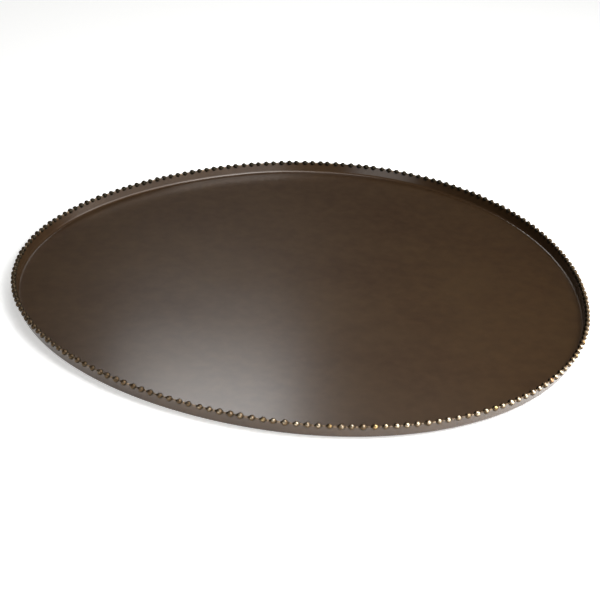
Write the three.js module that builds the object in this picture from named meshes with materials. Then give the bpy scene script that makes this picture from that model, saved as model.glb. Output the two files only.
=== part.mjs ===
// A wide, shallow metal serving tray with a beaded rim, in millimetres, +Z up.
// The origin is the middle of the flat underside, so the tray stands on the plane z = 0.
// The sheet is raised by hand, so its outline is not a true circle: it bulges gently in three places.
import * as THREE from "three";

// Driving dimensions, each one free to change by itself.
const rimRadius = 305; // mean distance from the tray's axis to the bead centres
const beadHeight = 13.5; // bead centres above the resting plane
const beadDiameter = 6.4;
const beadPitch = 10; // nominal spacing; the true one divides the rim into whole beads
const runCount = 24; // lengths of beaded edging that close the rim
const sheetThickness = 1.6;
const bendRadius = 3.5; // inside radius where the floor turns up into the wall
const wallLean = THREE.MathUtils.degToRad(9); // how far the wall leans out from upright
const bulgeCount = 3;
const rimBulge = 0.0264; // share of the radius that the rim swings out and in
const floorBulge = 0.0235; // the same at the resting plane, where the sheet is stiffer
const bandBelly = 0.1; // how far the braze swells the edging band on each side
const jointGap = 0.3; // left where two pieces meet

// How finely the curves are cut.
const panSegments = 96;
const bendSegments = 2;
const rimDivisions = 7200;

const beadRadius = beadDiameter / 2;
const halfSheet = sheetThickness / 2;
// The wall stops this far below the bead centres, along its lean, to clear beads and band.
const wallTopDrop = (beadRadius + jointGap + halfSheet * Math.sin(wallLean)) / Math.cos(wallLean);

const finishes = {
  pan: { color: 0x4b3a2b, roughness: 0.42, metalness: 1.0 },
  beads: { color: 0x8a6a3e, roughness: 0.35, metalness: 1.0 },
};

// A point of the wall's section, `rise` along the wall from the bead's centre and `out` from the
// sheet's middle. x is the distance from the axis and y the height.
function onWall(rise, out) {
  return new THREE.Vector2(
    rimRadius + rise * Math.sin(wallLean) + out * Math.cos(wallLean),
    beadHeight + rise * Math.cos(wallLean) - out * Math.sin(wallLean),
  );
}

// The middle of the bend, placed so that the wall's middle line runs up to the bead's centre.
function bendCentre() {
  const height = sheetThickness + bendRadius;
  const middleRadius = bendRadius + halfSheet;
  const rise = (height - beadHeight - middleRadius * Math.sin(wallLean)) / Math.cos(wallLean);
  return new THREE.Vector2(onWall(rise, -middleRadius).x, height);
}

// Where the hand-raised sheet puts a point of the round section.
function formed(radius, height, angle) {
  const bulge = THREE.MathUtils.lerp(floorBulge, rimBulge, height / beadHeight);
  const reach = radius * (1 - bulge * Math.cos(bulgeCount * angle));
  return new THREE.Vector3(reach * Math.cos(angle), reach * Math.sin(angle), height);
}

// The closed line through the bead centres, measured by its own length so that beads space evenly.
class RimLine extends THREE.Curve {
  getPoint(t) {
    return formed(rimRadius, beadHeight, 2 * Math.PI * t);
  }
}
const rimLine = new RimLine();
rimLine.arcLengthDivisions = rimDivisions;
const runLength = rimLine.getLength() / runCount;
const beadsPerRun = Math.round(runLength / beadPitch);

// Moves every vertex by `place`, which takes and returns a Vector3.
function reshape(geometry, place) {
  const position = geometry.getAttribute("position");
  const point = new THREE.Vector3();
  for (let i = 0; i < position.count; i += 1) {
    position.setXYZ(i, ...place(point.fromBufferAttribute(position, i)));
  }
  geometry.computeVertexNormals();
  return geometry;
}

function makeMesh(name, geometry, finish) {
  const mesh = new THREE.Mesh(geometry, new THREE.MeshStandardMaterial(finish));
  mesh.name = name;
  return mesh;
}

// The pan is one sheet: floor, bend and wall, turned from its section and then formed.
function makePan() {
  const bend = bendCentre();
  const outerTop = onWall(-wallTopDrop, halfSheet);
  const innerTop = onWall(-wallTopDrop, -halfSheet);
  const outline = new THREE.Path();
  outline.moveTo(0, 0);
  outline.lineTo(bend.x, 0);
  outline.absarc(bend.x, bend.y, bendRadius + sheetThickness, -Math.PI / 2, -wallLean, false);
  outline.lineTo(outerTop.x, outerTop.y);
  outline.lineTo(innerTop.x, innerTop.y);
  outline.absarc(bend.x, bend.y, bendRadius, -wallLean, -Math.PI / 2, true);
  outline.lineTo(0, sheetThickness);
  const geometry = new THREE.LatheGeometry(outline.getPoints(bendSegments), panSegments);
  geometry.rotateX(Math.PI / 2);
  reshape(geometry, ({ x, y, z }) => formed(Math.hypot(x, y), z, Math.atan2(y, x)));
  return makeMesh("tray_pan", geometry, finishes.pan);
}

// The six corners of the edging's section between two beads: a band in line with the wall.
function bandCorners() {
  const bottom = jointGap - wallTopDrop;
  const belly = halfSheet + bandBelly;
  return [
    onWall(bottom / 2, belly),
    onWall(0, halfSheet),
    onWall(0, -halfSheet),
    onWall(bottom / 2, -belly),
    onWall(bottom, -halfSheet),
    onWall(bottom, halfSheet),
  ];
}

// The same corners through the middle of a bead: a hexagon as wide, as high and as large in
// area as the bead's circle.
function beadCorners() {
  const corner = 0.57 * beadRadius;
  return [
    [beadRadius, 0],
    [corner, beadRadius],
    [-corner, beadRadius],
    [-beadRadius, 0],
    [-corner, -beadRadius],
    [corner, -beadRadius],
  ].map(([x, y]) => new THREE.Vector2(rimRadius + x, beadHeight + y));
}

// The stations of one run as [distance along it, swell], where a swell of 0 is the band's
// section and 1 is the middle of a bead.
function runStations() {
  const pitch = runLength / beadsPerRun;
  const shoulder = 0.69 * beadRadius;
  const shoulderSwell = 0.66;
  const stations = [[jointGap / 2, 0]];
  for (let bead = 0; bead < beadsPerRun; bead += 1) {
    const middle = (bead + 0.5) * pitch;
    const next = bead + 1 < beadsPerRun ? middle + pitch / 2 : runLength - jointGap / 2;
    stations.push([middle - shoulder, shoulderSwell], [middle, 1]);
    stations.push([middle + shoulder, shoulderSwell], [next, 0]);
  }
  return stations;
}

// One length of edging: neighbouring beads and the brazed band that holds them on the wall.
// A straight prism is made first, and each of its rings is then moved to its station.
function makeRun(index) {
  const band = bandCorners();
  const bead = beadCorners();
  const stations = runStations();
  const steps = stations.length - 1;
  const prism = new THREE.ExtrudeGeometry(new THREE.Shape(band), {
    depth: steps,
    steps,
    bevelEnabled: false,
  });
  reshape(prism, ({ x, y, z }) => {
    const [along, swell] = stations[steps - Math.round(z)];
    const here = new THREE.Vector2(x, y);
    const corner = band.findIndex((point) => point.distanceTo(here) < jointGap / 2);
    const { x: radius, y: height } = here.lerp(bead[corner], swell);
    const share = (index * runLength + along) / (runCount * runLength);
    return formed(radius, height, 2 * Math.PI * rimLine.getUtoTmapping(share));
  });
  return makeMesh(`bead_run_${String(index + 1).padStart(2, "0")}`, prism, finishes.beads);
}

const tray = new THREE.Group();
tray.add(makePan());
for (let index = 0; index < runCount; index += 1) {
  tray.add(makeRun(index));
}

export default tray;
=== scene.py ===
import math
import random

import bpy
from mathutils import Matrix, Vector, noise


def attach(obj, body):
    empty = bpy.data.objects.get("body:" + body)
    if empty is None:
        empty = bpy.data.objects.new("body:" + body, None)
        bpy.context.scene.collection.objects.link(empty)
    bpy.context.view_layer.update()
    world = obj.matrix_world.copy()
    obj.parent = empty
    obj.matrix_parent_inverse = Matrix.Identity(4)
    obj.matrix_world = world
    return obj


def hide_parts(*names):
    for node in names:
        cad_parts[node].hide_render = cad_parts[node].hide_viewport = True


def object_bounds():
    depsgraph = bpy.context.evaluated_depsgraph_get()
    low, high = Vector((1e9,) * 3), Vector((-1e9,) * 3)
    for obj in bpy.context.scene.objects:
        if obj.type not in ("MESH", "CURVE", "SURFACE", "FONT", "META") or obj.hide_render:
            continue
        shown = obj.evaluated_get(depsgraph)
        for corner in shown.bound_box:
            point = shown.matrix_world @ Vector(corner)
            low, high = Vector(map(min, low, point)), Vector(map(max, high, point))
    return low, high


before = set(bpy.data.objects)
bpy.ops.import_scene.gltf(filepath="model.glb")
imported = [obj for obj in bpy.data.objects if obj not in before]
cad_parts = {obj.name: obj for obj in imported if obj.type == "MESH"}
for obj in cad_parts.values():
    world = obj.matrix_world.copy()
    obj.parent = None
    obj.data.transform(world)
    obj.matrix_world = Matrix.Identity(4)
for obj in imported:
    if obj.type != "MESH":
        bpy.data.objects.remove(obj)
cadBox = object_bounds()
print("stage: frame loaded")

mm = 0.001


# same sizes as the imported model, in metres, which the pan and the beads share
tray = {
    "beadDiameter": 6.4 * mm,
    "beadsPerRun": 8,
    "sheet": 1.6 * mm,
    "bend": 3.5 * mm,          # inside radius where the floor turns up
    "lean": math.radians(9),   # wall, out from upright
    "bulges": 3,               # places where the hand-raised outline swings out
    "rimBulge": 0.0264,        # share of the radius that it swings at the rim
    "floorBulge": 0.0235,      # the same at the resting plane
    "edge": 0.7 * mm,          # wall edge above the bead centres
    "rimSteps": 7200,          # how finely the rim is measured to space the beads
}
beadRadius = tray["beadDiameter"] / 2
runNames = sorted(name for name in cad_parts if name.startswith("bead_run"))
beadHeight = cadBox[1].z - beadRadius
rimRadius = (cadBox[1].x - cadBox[0].x) / 2 - beadRadius


def formed(radius, height, angle):
    # where the hand-raised sheet puts a point of the round section
    bulge = tray["floorBulge"] + (tray["rimBulge"] - tray["floorBulge"]) * height / beadHeight
    reach = radius * (1 - bulge * math.cos(tray["bulges"] * angle))
    return Vector((reach * math.cos(angle), reach * math.sin(angle), height))


def onWall(rise, out):
    # (radius, height) of a point measured along the wall from the bead centre and out from the sheet
    lean = tray["lean"]
    return (rimRadius + rise * math.sin(lean) + out * math.cos(lean),
            beadHeight + rise * math.cos(lean) - out * math.sin(lean))


def bendCentre():
    lean = tray["lean"]
    height = tray["sheet"] + tray["bend"]
    middle = tray["bend"] + tray["sheet"] / 2
    rise = (height - beadHeight - middle * math.sin(lean)) / math.cos(lean)
    return onWall(rise, -middle)[0], height


def rimAngles(count):
    # angles that split the bulging rim into equal lengths
    steps = tray["rimSteps"]
    lengths = [0.0]
    before = formed(rimRadius, beadHeight, 0)
    for step in range(1, steps + 1):
        here = formed(rimRadius, beadHeight, 2 * math.pi * step / steps)
        lengths.append(lengths[-1] + (here - before).length)
        before = here
    angles = []
    step = 0
    for place in range(count):
        wanted = lengths[-1] * (place + 0.5) / count
        while lengths[step + 1] < wanted:
            step += 1
        share = (wanted - lengths[step]) / (lengths[step + 1] - lengths[step])
        angles.append(2 * math.pi * (step + share) / steps)
    return angles


def addMesh(name, verts, faces, smooth=True):
    mesh = bpy.data.meshes.new(name)
    mesh.from_pydata(verts, [], faces)
    mesh.validate()
    mesh.update()
    if smooth:
        mesh.polygons.foreach_set("use_smooth", [True] * len(mesh.polygons))
    piece = bpy.data.objects.new(name, mesh)
    bpy.context.scene.collection.objects.link(piece)
    return piece


def addFloats(piece, name, values):
    layer = piece.data.attributes.new(name, "FLOAT", "POINT")
    layer.data.foreach_set("value", values)


def newMaterial(name):
    mat = bpy.data.materials.new(name)
    mat.use_nodes = True
    tree = mat.node_tree
    tree.nodes.clear()
    out = tree.nodes.new("ShaderNodeOutputMaterial")
    shader = tree.nodes.new("ShaderNodeBsdfPrincipled")
    tree.links.new(shader.outputs["BSDF"], out.inputs["Surface"])
    return mat, tree, shader


def link(tree, a, b):
    tree.links.new(a, b)


def noiseNode(tree, coords, scale, detail=3.0, roughness=0.5, distortion=0.0):
    node = tree.nodes.new("ShaderNodeTexNoise")
    node.inputs["Scale"].default_value = scale
    node.inputs["Detail"].default_value = detail
    node.inputs["Roughness"].default_value = roughness
    node.inputs["Distortion"].default_value = distortion
    link(tree, coords, node.inputs["Vector"])
    return node.outputs["Fac"]


def remap(tree, value, fromLow, fromHigh, toLow, toHigh):
    node = tree.nodes.new("ShaderNodeMapRange")
    node.inputs["From Min"].default_value = fromLow
    node.inputs["From Max"].default_value = fromHigh
    node.inputs["To Min"].default_value = toLow
    node.inputs["To Max"].default_value = toHigh
    link(tree, value, node.inputs["Value"])
    return node.outputs["Result"]


def mixColors(tree, amount, first, second):
    node = tree.nodes.new("ShaderNodeMix")
    node.data_type = "RGBA"
    for socket, value in ((node.inputs[6], first), (node.inputs[7], second)):
        if isinstance(value, tuple):
            socket.default_value = (*value, 1)
        else:
            link(tree, value, socket)
    link(tree, amount, node.inputs[0])
    return node.outputs[2]


def mathNode(tree, kind, first, second):
    node = tree.nodes.new("ShaderNodeMath")
    node.operation = kind
    link(tree, first, node.inputs[0])
    if isinstance(second, float):
        node.inputs[1].default_value = second
    else:
        link(tree, second, node.inputs[1])
    return node.outputs[0]


def bumpNode(tree, height, strength, distance, under=None):
    node = tree.nodes.new("ShaderNodeBump")
    node.inputs["Strength"].default_value = strength
    node.inputs["Distance"].default_value = distance
    link(tree, height, node.inputs["Height"])
    if under is not None:
        link(tree, under, node.inputs["Normal"])
    return node.outputs["Normal"]


def attribute(tree, name):
    node = tree.nodes.new("ShaderNodeAttribute")
    node.attribute_name = name
    return node.outputs["Fac"]


pan = {
    "around": 576,            # points round the tray, three to a bead
    "floorRings": 48,
    "underRings": 14,
    "bendRings": 12,
    "wallRings": 12,
    "edgeRound": 0.35 * mm,
    "edgeSoftShare": 0.3,     # where the rounded edge turns, as a share of edgeRound
    "lift": 0.22 * mm,        # how far the floor wanders off flat
    "liftScale": 14,
    "wander": 0.30 * mm,      # how far the wall wanders in and out
    "quickScale": 9,          # small wanders of the wall
    "quickShare": 0.6,
    "slowScale": 3.2,         # long wanders of the wall
    "footShare": 0.35,        # how much of the wander is left at the foot of the wall
    "stillness": 8,           # how quickly the wander dies away towards the middle
    "noiseHeights": (3.1, 7.7, 1.3),  # a level of noise each for quick, slow and lift
    "wornDepth": 1.6 * mm,    # how far down the wall its edge is rubbed
    "creaseIn": 1.5 * mm,     # middle of the darkening in the bend, from the bend's centre
    "creaseHeight": 2.6 * mm,
    "creaseReach": 6 * mm,
}

sheetFinish = {
    "shade": (0.046, 0.0225, 0.0085),  # deepest brown
    "brown": (0.062, 0.0335, 0.0130),  # most of the sheet
    "warm": (0.082, 0.0420, 0.0155),   # where copper shows through
    "rubbed": (0.42, 0.29, 0.17),      # the wall's filed edge
    "metal": 0.5,                      # half metal, half dull oxide
    "specular": 0.2,
    "roughness": (0.54, 0.62),
    "coat": 1.0,                       # waxed and buffed
    "coatRoughness": 0.22,
    "cloudScale": 9,
    "mottleScale": 70,
    "mottleShare": 0.45,
    "speckScale": 420,
    "speckShare": 0.35,
    "bendDarkShare": 0.5,
    "dentScale": 70,                   # planishing marks
    "dentStrength": 0.10,
    "dentDepth": 0.4 * mm,
    "toothScale": 1500,                # fine tooth of the patina
    "toothStrength": 0.12,
    "toothDepth": 0.05 * mm,
}


def arc(centre, radius, start, end, count):
    return [(centre[0] + radius * math.cos(start + (end - start) * i / count),
             centre[1] + radius * math.sin(start + (end - start) * i / count))
            for i in range(count + 1)]


def straight(first, last, count):
    # points after first, up to and including last
    return [(first[0] + (last[0] - first[0]) * i / count, first[1] + (last[1] - first[1]) * i / count)
            for i in range(1, count + 1)]


def panSection():
    centre = bendCentre()
    sheet, bend, lean = tray["sheet"], tray["bend"], tray["lean"]
    down = -math.pi / 2
    inner = arc(centre, bend, down, -lean, pan["bendRings"])
    outer = arc(centre, bend + sheet, -lean, down, pan["bendRings"])
    top = tray["edge"]
    soft = pan["edgeRound"]
    half = sheet / 2
    turn = soft * pan["edgeSoftShare"]
    edge = [onWall(top - soft, -half), onWall(top - turn, -half + turn),
            onWall(top, -half + soft), onWall(top, half - soft),
            onWall(top - turn, half - turn), onWall(top - soft, half)]
    floorIn = straight((0, sheet), inner[0], pan["floorRings"])
    wallIn = straight(inner[-1], edge[0], pan["wallRings"])
    wallOut = straight(edge[-1], outer[0], pan["wallRings"])
    floorOut = straight(outer[-1], (0, 0), pan["underRings"])
    return floorIn + inner[1:] + wallIn + edge[1:] + wallOut + outer[1:] + floorOut[:-1]


def handRaised(radius, height, angle):
    # the wall wanders in and out a little, and the floor lifts off flat in slow, shallow swells
    spot = formed(radius, height, angle)
    up = min(1, height / beadHeight)
    outward = Vector((math.cos(angle), math.sin(angle), 0))
    quickHeight, slowHeight, liftHeight = pan["noiseHeights"]
    quick = outward * pan["quickScale"] + Vector((0, 0, quickHeight))
    slow = outward * pan["slowScale"] + Vector((0, 0, slowHeight))
    wander = pan["wander"] * (pan["quickShare"] * noise.noise(quick) + noise.noise(slow))
    wander *= pan["footShare"] + (1 - pan["footShare"]) * up
    spot += wander * outward * min(1, radius / rimRadius) ** pan["stillness"]
    scale = pan["liftScale"]
    swell = 0.5 + 0.5 * noise.noise(Vector((spot.x * scale, spot.y * scale, liftHeight)))
    spot.z += pan["lift"] * swell * (1 - up) ** 2
    return spot


def makePan():
    section = panSection()
    count = pan["around"]
    verts = []
    for radius, height in section:
        for i in range(count):
            verts.append(handRaised(radius, height, 2 * math.pi * i / count))
    faces = []
    for ring in range(len(section) - 1):
        for i in range(count):
            j = (i + 1) % count
            a, b = ring * count, (ring + 1) * count
            faces.append((a + i, b + i, b + j, a + j))
    top, bottom = len(verts), len(verts) + 1
    verts.append(handRaised(0, tray["sheet"], 0))
    verts.append(handRaised(0, 0, 0))
    last = (len(section) - 1) * count
    for i in range(count):
        j = (i + 1) % count
        faces.append((top, i, j))
        faces.append((bottom, last + j, last + i))
    piece = addMesh("trayPan", verts, faces)
    # worn: 1 on the filed edge of the wall, fading down both sides; crease: darker in and around the bend
    edgeHeight = onWall(tray["edge"], 0)[1]
    worn = []
    crease = []
    bendX = bendCentre()[0]
    for radius, height in section:
        nearEdge = max(0.0, 1 - (edgeHeight - height) / pan["wornDepth"])
        off = math.hypot(radius - bendX - pan["creaseIn"], height - pan["creaseHeight"])
        inBend = max(0.0, 1 - off / pan["creaseReach"])
        worn.extend([nearEdge] * count)
        crease.extend([inBend] * count)
    addFloats(piece, "worn", worn + [0.0, 0.0])
    addFloats(piece, "crease", crease + [0.0, 0.0])
    return piece


def sheetMaterial():
    mat, tree, shader = newMaterial("brownPatina")
    coords = tree.nodes.new("ShaderNodeTexCoord").outputs["Object"]
    clouds = remap(tree, noiseNode(tree, coords, sheetFinish["cloudScale"], 4, 0.55, 0.4), 0.32, 0.70, 0, 1)
    mottle = remap(tree, noiseNode(tree, coords, sheetFinish["mottleScale"], 5, 0.6), 0.35, 0.70, 0, 1)
    specks = remap(tree, noiseNode(tree, coords, sheetFinish["speckScale"], 3, 0.6), 0.62, 0.75, 0, 1)
    base = mixColors(tree, clouds, sheetFinish["shade"], sheetFinish["brown"])
    warmth = mathNode(tree, "MULTIPLY", mottle, sheetFinish["mottleShare"])
    base = mixColors(tree, warmth, base, sheetFinish["warm"])
    flecks = mathNode(tree, "MULTIPLY", specks, sheetFinish["speckShare"])
    base = mixColors(tree, flecks, base, sheetFinish["shade"])
    # darker in and around the bend, toward the deepest brown
    bendDark = mathNode(tree, "MULTIPLY", attribute(tree, "crease"), sheetFinish["bendDarkShare"])
    base = mixColors(tree, bendDark, base, sheetFinish["shade"])
    rub = mathNode(tree, "MULTIPLY", attribute(tree, "worn"), mottle)
    base = mixColors(tree, rub, base, sheetFinish["rubbed"])
    link(tree, base, shader.inputs["Base Color"])
    low, high = sheetFinish["roughness"]
    rough = remap(tree, mathNode(tree, "ADD", clouds, mottle), 0, 2, high, low)
    link(tree, rough, shader.inputs["Roughness"])
    cells = tree.nodes.new("ShaderNodeTexVoronoi")
    cells.feature = "SMOOTH_F1"
    cells.inputs["Scale"].default_value = sheetFinish["dentScale"]
    cells.inputs["Smoothness"].default_value = 0.8
    link(tree, coords, cells.inputs["Vector"])
    dents = bumpNode(tree, cells.outputs["Distance"], sheetFinish["dentStrength"],
                     sheetFinish["dentDepth"])
    grain = noiseNode(tree, coords, sheetFinish["toothScale"], 2, 0.6)
    tooth = bumpNode(tree, grain, sheetFinish["toothStrength"], sheetFinish["toothDepth"], dents)
    link(tree, tooth, shader.inputs["Normal"])
    shader.inputs["Metallic"].default_value = sheetFinish["metal"]
    shader.inputs["Specular IOR Level"].default_value = sheetFinish["specular"]
    shader.inputs["Coat Weight"].default_value = sheetFinish["coat"]
    shader.inputs["Coat Roughness"].default_value = sheetFinish["coatRoughness"]
    return mat


trayPan = makePan()
trayPan.data.materials.append(sheetMaterial())
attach(trayPan, "root")
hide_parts("tray_pan")
print("stage: pan made")


bead = {
    "around": 24,
    "rings": 16,
    "sizeSpread": 0.15,        # share of the radius
    "placeSpread": 0.7 * mm,   # along the rim
    "squash": 0.06,
    "dents": 0.05,
    "dentScale": 1.7,
    "neckLength": 1.56,        # braze between two beads, in bead radii from the middle of a bead
    "neckHalfWidth": 0.50,
    "neckHalfHeight": 0.52,
    "rubAndSheenOut": 0.72,            # the polishing cloth ran round the outside and over the top; the same weights paint a highlight on the outer and top faces, where the front-right light falls
    "rubAndSheenUp": 0.69,
    "wornAndLitSide": math.radians(-45),  # the side that was handled and rubbed most, which also carries a painted highlight where the front-right softbox reflects
    "wornAndLitShare": 0.2,               # rubbing, and the painted highlight with it, lost a quarter turn away from that side
    "wearSpread": 0.12,             # rubbing that differs from bead to bead
    "neckRubAndSheen": 0.3,
    "lookAhead": 0.001,             # radians, to find the way the rim runs
    "seed": 41,
}

beadFinish = {
    # dark patina; the rub mask leaves it on the inner faces, where it is also painted shade
    "dark": (0.036, 0.029, 0.019),
    "bronze": (0.13, 0.085, 0.048),
    "brass": (0.80, 0.67, 0.48),
    "gold": (0.74, 0.53, 0.22),
    "copper": (0.62, 0.31, 0.15),
    "roughness": (0.55, 0.30),   # dark, then rubbed with painted highlight
    "patchScale": 330,
    "patchSway": 0.16,           # how far the patches push the edge of the rubbing
    "bronzeRubAndSheen": (0.05, 0.60),   # rubbing and painted highlight over which dark turns to bronze
    "brightRubAndSheen": (0.68, 0.92),   # and bronze to bright metal
    "goldTone": (0.80, 0.88),    # the few beads that lean to gold
    "copperTone": (0.93, 0.97),  # and the fewer that lean to copper
    "lumpStrength": 0.30,
    "lumpDepth": 0.5 * mm,
    "pitScale": 1300,
    "pitStrength": 0.25,
    "pitDepth": 0.12 * mm,
}


def ballShape(rand):
    # directions and lengths of a slightly dented ball of radius 1
    around, rings = bead["around"], bead["rings"]
    phase = Vector((rand.uniform(0, 9), 0, 0))
    ways = [Vector((0, 0, 1))]
    for ring in range(1, rings):
        polar = math.pi * ring / rings
        for i in range(around):
            turn = 2 * math.pi * i / around
            ways.append(Vector((math.sin(polar) * math.cos(turn), math.sin(polar) * math.sin(turn),
                                math.cos(polar))))
    ways.append(Vector((0, 0, -1)))
    points = [way * (1 + bead["dents"] * noise.noise(way * bead["dentScale"] + phase)) for way in ways]
    faces = [(0, 1 + i, 1 + (i + 1) % around) for i in range(around)]
    for ring in range(rings - 2):
        a, b = 1 + ring * around, 1 + (ring + 1) * around
        for i in range(around):
            j = (i + 1) % around
            faces.append((a + i, b + i, b + j, a + j))
    end = len(points) - 1
    a = 1 + (rings - 2) * around
    faces += [(end, a + (i + 1) % around, a + i) for i in range(around)]
    return ways, points, faces


def makeRun(name, angles, rand):
    verts = []
    faces = []
    rub = []
    tone = []
    lean = tray["lean"]
    for angle in angles:
        angle += rand.uniform(-1, 1) * bead["placeSpread"] / rimRadius
        size = beadRadius * (1 - rand.random() * bead["sizeSpread"])
        centre = handRaised(rimRadius, beadHeight, angle)
        ahead = handRaised(rimRadius, beadHeight, angle + bead["lookAhead"])
        alongRim = (ahead - centre).normalized()
        outward = Vector((alongRim.y, -alongRim.x, 0)).normalized()
        up = Vector((0, 0, 1)) * math.cos(lean) + outward * math.sin(lean)
        turn = Matrix((alongRim.cross(up), alongRim, up)).transposed()
        glow = rand.random()
        # stronger toward one side of the rim: handling wear and a painted highlight where the front-right
        # softbox reflects
        wearAndSheen = 1 - bead["wornAndLitShare"] * (1 - math.cos(angle - bead["wornAndLitSide"]))
        wearAndSheen -= bead["wearSpread"] * rand.random()
        ball = [size * (1 - rand.random() * bead["squash"]) for _ in range(3)]
        neck = [size * bead["neckHalfWidth"], size * bead["neckLength"], size * bead["neckHalfHeight"]]
        for sizes, rubbed in ((ball, wearAndSheen), (neck, bead["neckRubAndSheen"])):
            start = len(verts)
            ways, points, shapeFaces = ballShape(rand)
            for way, point in zip(ways, points):
                verts.append(centre + turn @ Vector([a * b for a, b in zip(point, sizes)]))
                facing = turn @ way
                # rub: high on outer and top faces, low on inner ones; partly polishing wear, partly painted
                # highlight and painted shade for the front-right light
                rub.append(rubbed * (bead["rubAndSheenOut"] * facing.dot(outward) + bead["rubAndSheenUp"] * facing.z))
                tone.append(glow)
            faces.extend(tuple(start + index for index in face) for face in shapeFaces)
    piece = addMesh(name, verts, faces)
    addFloats(piece, "rub", rub)
    addFloats(piece, "tone", tone)
    return piece


def beadMaterial():
    mat, tree, shader = newMaterial("brassRubAndSheen")
    coords = tree.nodes.new("ShaderNodeTexCoord").outputs["Object"]
    patches = noiseNode(tree, coords, beadFinish["patchScale"], 4, 0.6)
    fine = noiseNode(tree, coords, beadFinish["pitScale"], 3, 0.6)
    tone = attribute(tree, "tone")
    sway = remap(tree, patches, 0.3, 0.7, -beadFinish["patchSway"], beadFinish["patchSway"])
    amount = mathNode(tree, "ADD", attribute(tree, "rub"), sway)
    bright = remap(tree, amount, *beadFinish["brightRubAndSheen"], 0, 1)
    half = remap(tree, amount, *beadFinish["bronzeRubAndSheen"], 0, 1)
    golden = remap(tree, tone, *beadFinish["goldTone"], 0, 1)
    coppery = remap(tree, tone, *beadFinish["copperTone"], 0, 1)
    metal = mixColors(tree, golden, beadFinish["brass"], beadFinish["gold"])
    metal = mixColors(tree, coppery, metal, beadFinish["copper"])
    base = mixColors(tree, half, beadFinish["dark"], beadFinish["bronze"])
    base = mixColors(tree, bright, base, metal)
    link(tree, base, shader.inputs["Base Color"])
    high, low = beadFinish["roughness"]
    link(tree, remap(tree, bright, 0, 1, high, low), shader.inputs["Roughness"])
    pits = bumpNode(tree, fine, beadFinish["pitStrength"], beadFinish["pitDepth"])
    lumps = bumpNode(tree, patches, beadFinish["lumpStrength"], beadFinish["lumpDepth"], pits)
    link(tree, lumps, shader.inputs["Normal"])
    shader.inputs["Metallic"].default_value = 1.0
    return mat


beadAngles = rimAngles(tray["beadsPerRun"] * len(runNames))
beadMetal = beadMaterial()
rand = random.Random(bead["seed"])
for index, node in enumerate(runNames):
    first = index * tray["beadsPerRun"]
    run = makeRun("beadRun%02d" % (index + 1), beadAngles[first:first + tray["beadsPerRun"]], rand)
    run.data.materials.append(beadMetal)
    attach(run, "root")
    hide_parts(node)
print("stage: beads made")


studio = {
    "floorColor": (0.96, 0.96, 0.95),
    "floorGlow": 0.55,        # lit a little from below, like a light table, to soften the shadow
    "floorRoughness": 0.7,
    "floorSize": 60.0,
    "floorDrop": 0.2 * mm,    # keeps the floor just clear of the underside
    "worldColor": (1.0, 0.98, 0.96),
    "worldStrength": 0.01,
}

# each softbox stands round the tray: turn and height in degrees, the rest in metres and watts
softboxes = {
    "backCore": {"turn": 91.0, "rise": 40, "away": 2.0, "wide": 0.42, "tall": 0.3, "power": 2.9},
    "backLow": {"turn": 91.2, "rise": 34.5, "away": 2.0, "wide": 0.45, "tall": 0.25, "power": 0.2},
    "backWide": {"turn": 87, "rise": 47, "away": 2.0, "wide": 1.2, "tall": 0.7, "power": 0.9},
    "topCentre": {"turn": -90, "rise": 87, "away": 1.8, "wide": 0.6, "tall": 0.6, "power": 4},
    "topRight": {"turn": -38, "rise": 54, "away": 0.95, "wide": 0.6, "tall": 0.6, "power": 10.5},
    "sideSoftbox": {"turn": -12, "rise": 18, "away": 3.0, "wide": 3.0, "tall": 1.6, "power": 52},
    "frontRight": {"turn": -58, "rise": 14, "away": 2.5, "wide": 1.6, "tall": 0.9, "power": 15},
    "frontLeft": {"turn": -125, "rise": 8, "away": 2.0, "wide": 1.2, "tall": 0.4, "power": 4},
}

view = {
    "azimuth": -7.416,
    "elevation": 26.797,
    "distance": 4.770,            # in rim radii from the middle of the bead row's plane
    "aim": (-0.0391, -0.1371, 0),  # in rim radii
    "roll": 3.11,
    "lens": 80.4,                 # mm, on a sensor 36 mm wide
    "sensor": 36,
}


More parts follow.
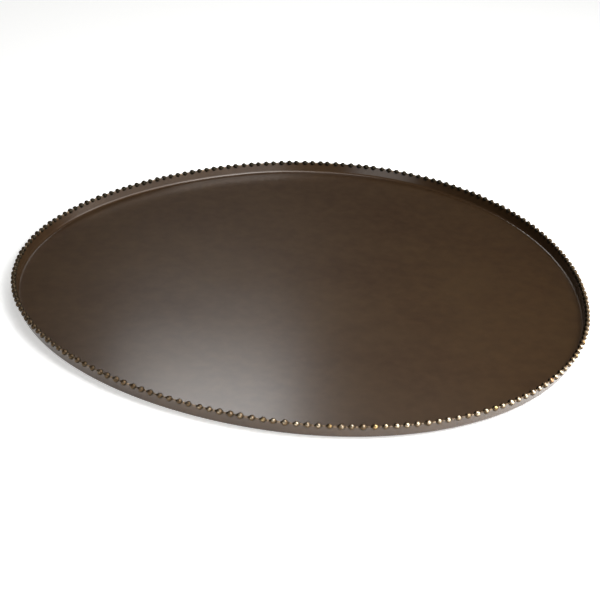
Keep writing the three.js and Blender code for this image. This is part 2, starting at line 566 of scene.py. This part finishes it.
def makeFloor():
    half = studio["floorSize"] / 2
    corners = [(-half, -half, 0), (half, -half, 0), (half, half, 0), (-half, half, 0)]
    floor = addMesh("studioFloor", corners, [(0, 1, 2, 3)], smooth=False)
    floor.location.z = -studio["floorDrop"]
    mat, tree, shader = newMaterial("paleFloor")
    shader.inputs["Base Color"].default_value = (*studio["floorColor"], 1)
    shader.inputs["Roughness"].default_value = studio["floorRoughness"]
    shader.inputs["Emission Color"].default_value = (*studio["floorColor"], 1)
    shader.inputs["Emission Strength"].default_value = studio["floorGlow"]
    floor.data.materials.append(mat)


def standAt(turn, rise, away):
    turn, rise = math.radians(turn), math.radians(rise)
    return Vector((math.cos(turn) * math.cos(rise), math.sin(turn) * math.cos(rise), math.sin(rise))) * away


def makeSoftbox(name, box):
    lamp = bpy.data.lights.new(name, "AREA")
    lamp.shape = "RECTANGLE"
    lamp.size = box["wide"]
    lamp.size_y = box["tall"]
    lamp.energy = box["power"]
    holder = bpy.data.objects.new(name, lamp)
    holder.location = standAt(box["turn"], box["rise"], box["away"])
    holder.rotation_euler = (-holder.location).to_track_quat("-Z", "Y").to_euler()
    bpy.context.scene.collection.objects.link(holder)


def makeCamera():
    azimuth, elevation, roll = (math.radians(view[key]) for key in ("azimuth", "elevation", "roll"))
    back = Vector((math.sin(azimuth) * math.cos(elevation), -math.cos(azimuth) * math.cos(elevation),
                   math.sin(elevation)))
    place = Vector((0, 0, beadHeight)) + back * view["distance"] * rimRadius
    facing = (place - Vector(view["aim"]) * rimRadius).normalized()
    right = Vector((0, 0, 1)).cross(facing).normalized()
    up = facing.cross(right)
    tilted = right * math.cos(roll) + up * math.sin(roll)
    camera = bpy.data.cameras.new("viewCamera")
    camera.lens = view["lens"]
    camera.sensor_width = view["sensor"]
    holder = bpy.data.objects.new("viewCamera", camera)
    holder.matrix_world = Matrix.Translation(place) @ Matrix(
        (tilted, facing.cross(tilted), facing)).transposed().to_4x4()
    bpy.context.scene.collection.objects.link(holder)
    bpy.context.scene.camera = holder


makeFloor()
for name, box in softboxes.items():
    makeSoftbox(name, box)
makeCamera()
world = bpy.data.worlds.new("studioWorld")
world.use_nodes = True
background = world.node_tree.nodes["Background"]
background.inputs["Color"].default_value = (*studio["worldColor"], 1)
background.inputs["Strength"].default_value = studio["worldStrength"]
bpy.context.scene.world = world
bpy.context.scene.view_settings.view_transform = "Standard"
print("stage: studio made")
